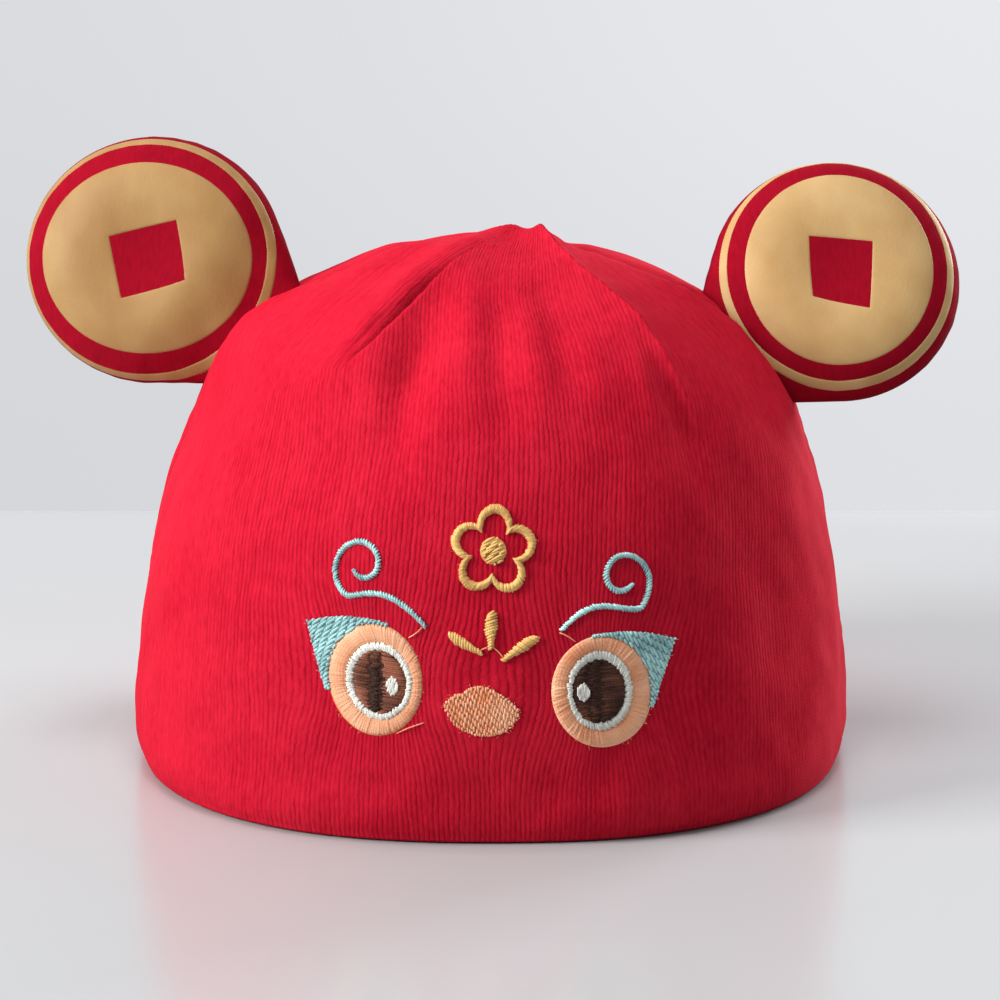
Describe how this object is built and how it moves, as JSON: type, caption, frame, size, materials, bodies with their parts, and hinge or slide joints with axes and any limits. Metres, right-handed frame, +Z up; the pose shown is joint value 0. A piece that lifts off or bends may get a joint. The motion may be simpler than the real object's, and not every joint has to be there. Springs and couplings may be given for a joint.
{
  "type": "infant beanie with stuffed ears",
  "caption": "Close-fitting double-layer jersey beanie for a baby, with darted dome, round stuffed ears carrying a printed coin motif and an embroidered animal face.",
  "frame": {"origin": "on the surface the hem rests on, below the middle of the whole hat, ears included", "axes": "+Z up from the hem to the peak, the embroidered face looks along -Y, +X towards the wearer's left ear"},
  "size_m": [0.1729, 0.1281, 0.1126],
  "materials": {
    "knit": "red fine-rib cotton jersey",
    "print": "matte gold printed film on jersey",
    "thread_teal": "teal embroidery thread, soft sheen",
    "thread_peach": "peach embroidery thread, soft sheen",
    "thread_pale": "pale embroidery thread, soft sheen",
    "thread_brown": "dark brown embroidery thread, soft sheen",
    "thread_gold": "gold-coloured embroidery thread, soft sheen"
  },
  "bodies": {
    "root": {"crown_front": "knit", "crown_back": "knit", "ear_left_front": "knit", "ear_left_back": "knit", "ear_right_front": "knit", "ear_right_back": "knit", "coin_left_disc": "print", "coin_left_ring": "print", "coin_right_disc": "print", "coin_right_ring": "print", "eye_left_rim": "thread_peach", "eye_left_white": "thread_pale", "eye_left_iris": "thread_brown", "eye_left_glint": "thread_pale", "eye_right_rim": "thread_peach", "eye_right_white": "thread_pale", "eye_right_iris": "thread_brown", "eye_right_glint": "thread_pale", "eyelid_left": "thread_teal", "eyelid_right": "thread_teal", "brow_left": "thread_teal", "brow_right": "thread_teal", "leaf_left": "thread_gold", "leaf_middle": "thread_gold", "leaf_right": "thread_gold", "nose": "thread_peach", "blossom_ring": "thread_gold", "blossom_heart": "thread_gold"}
  },
  "joints": []
}
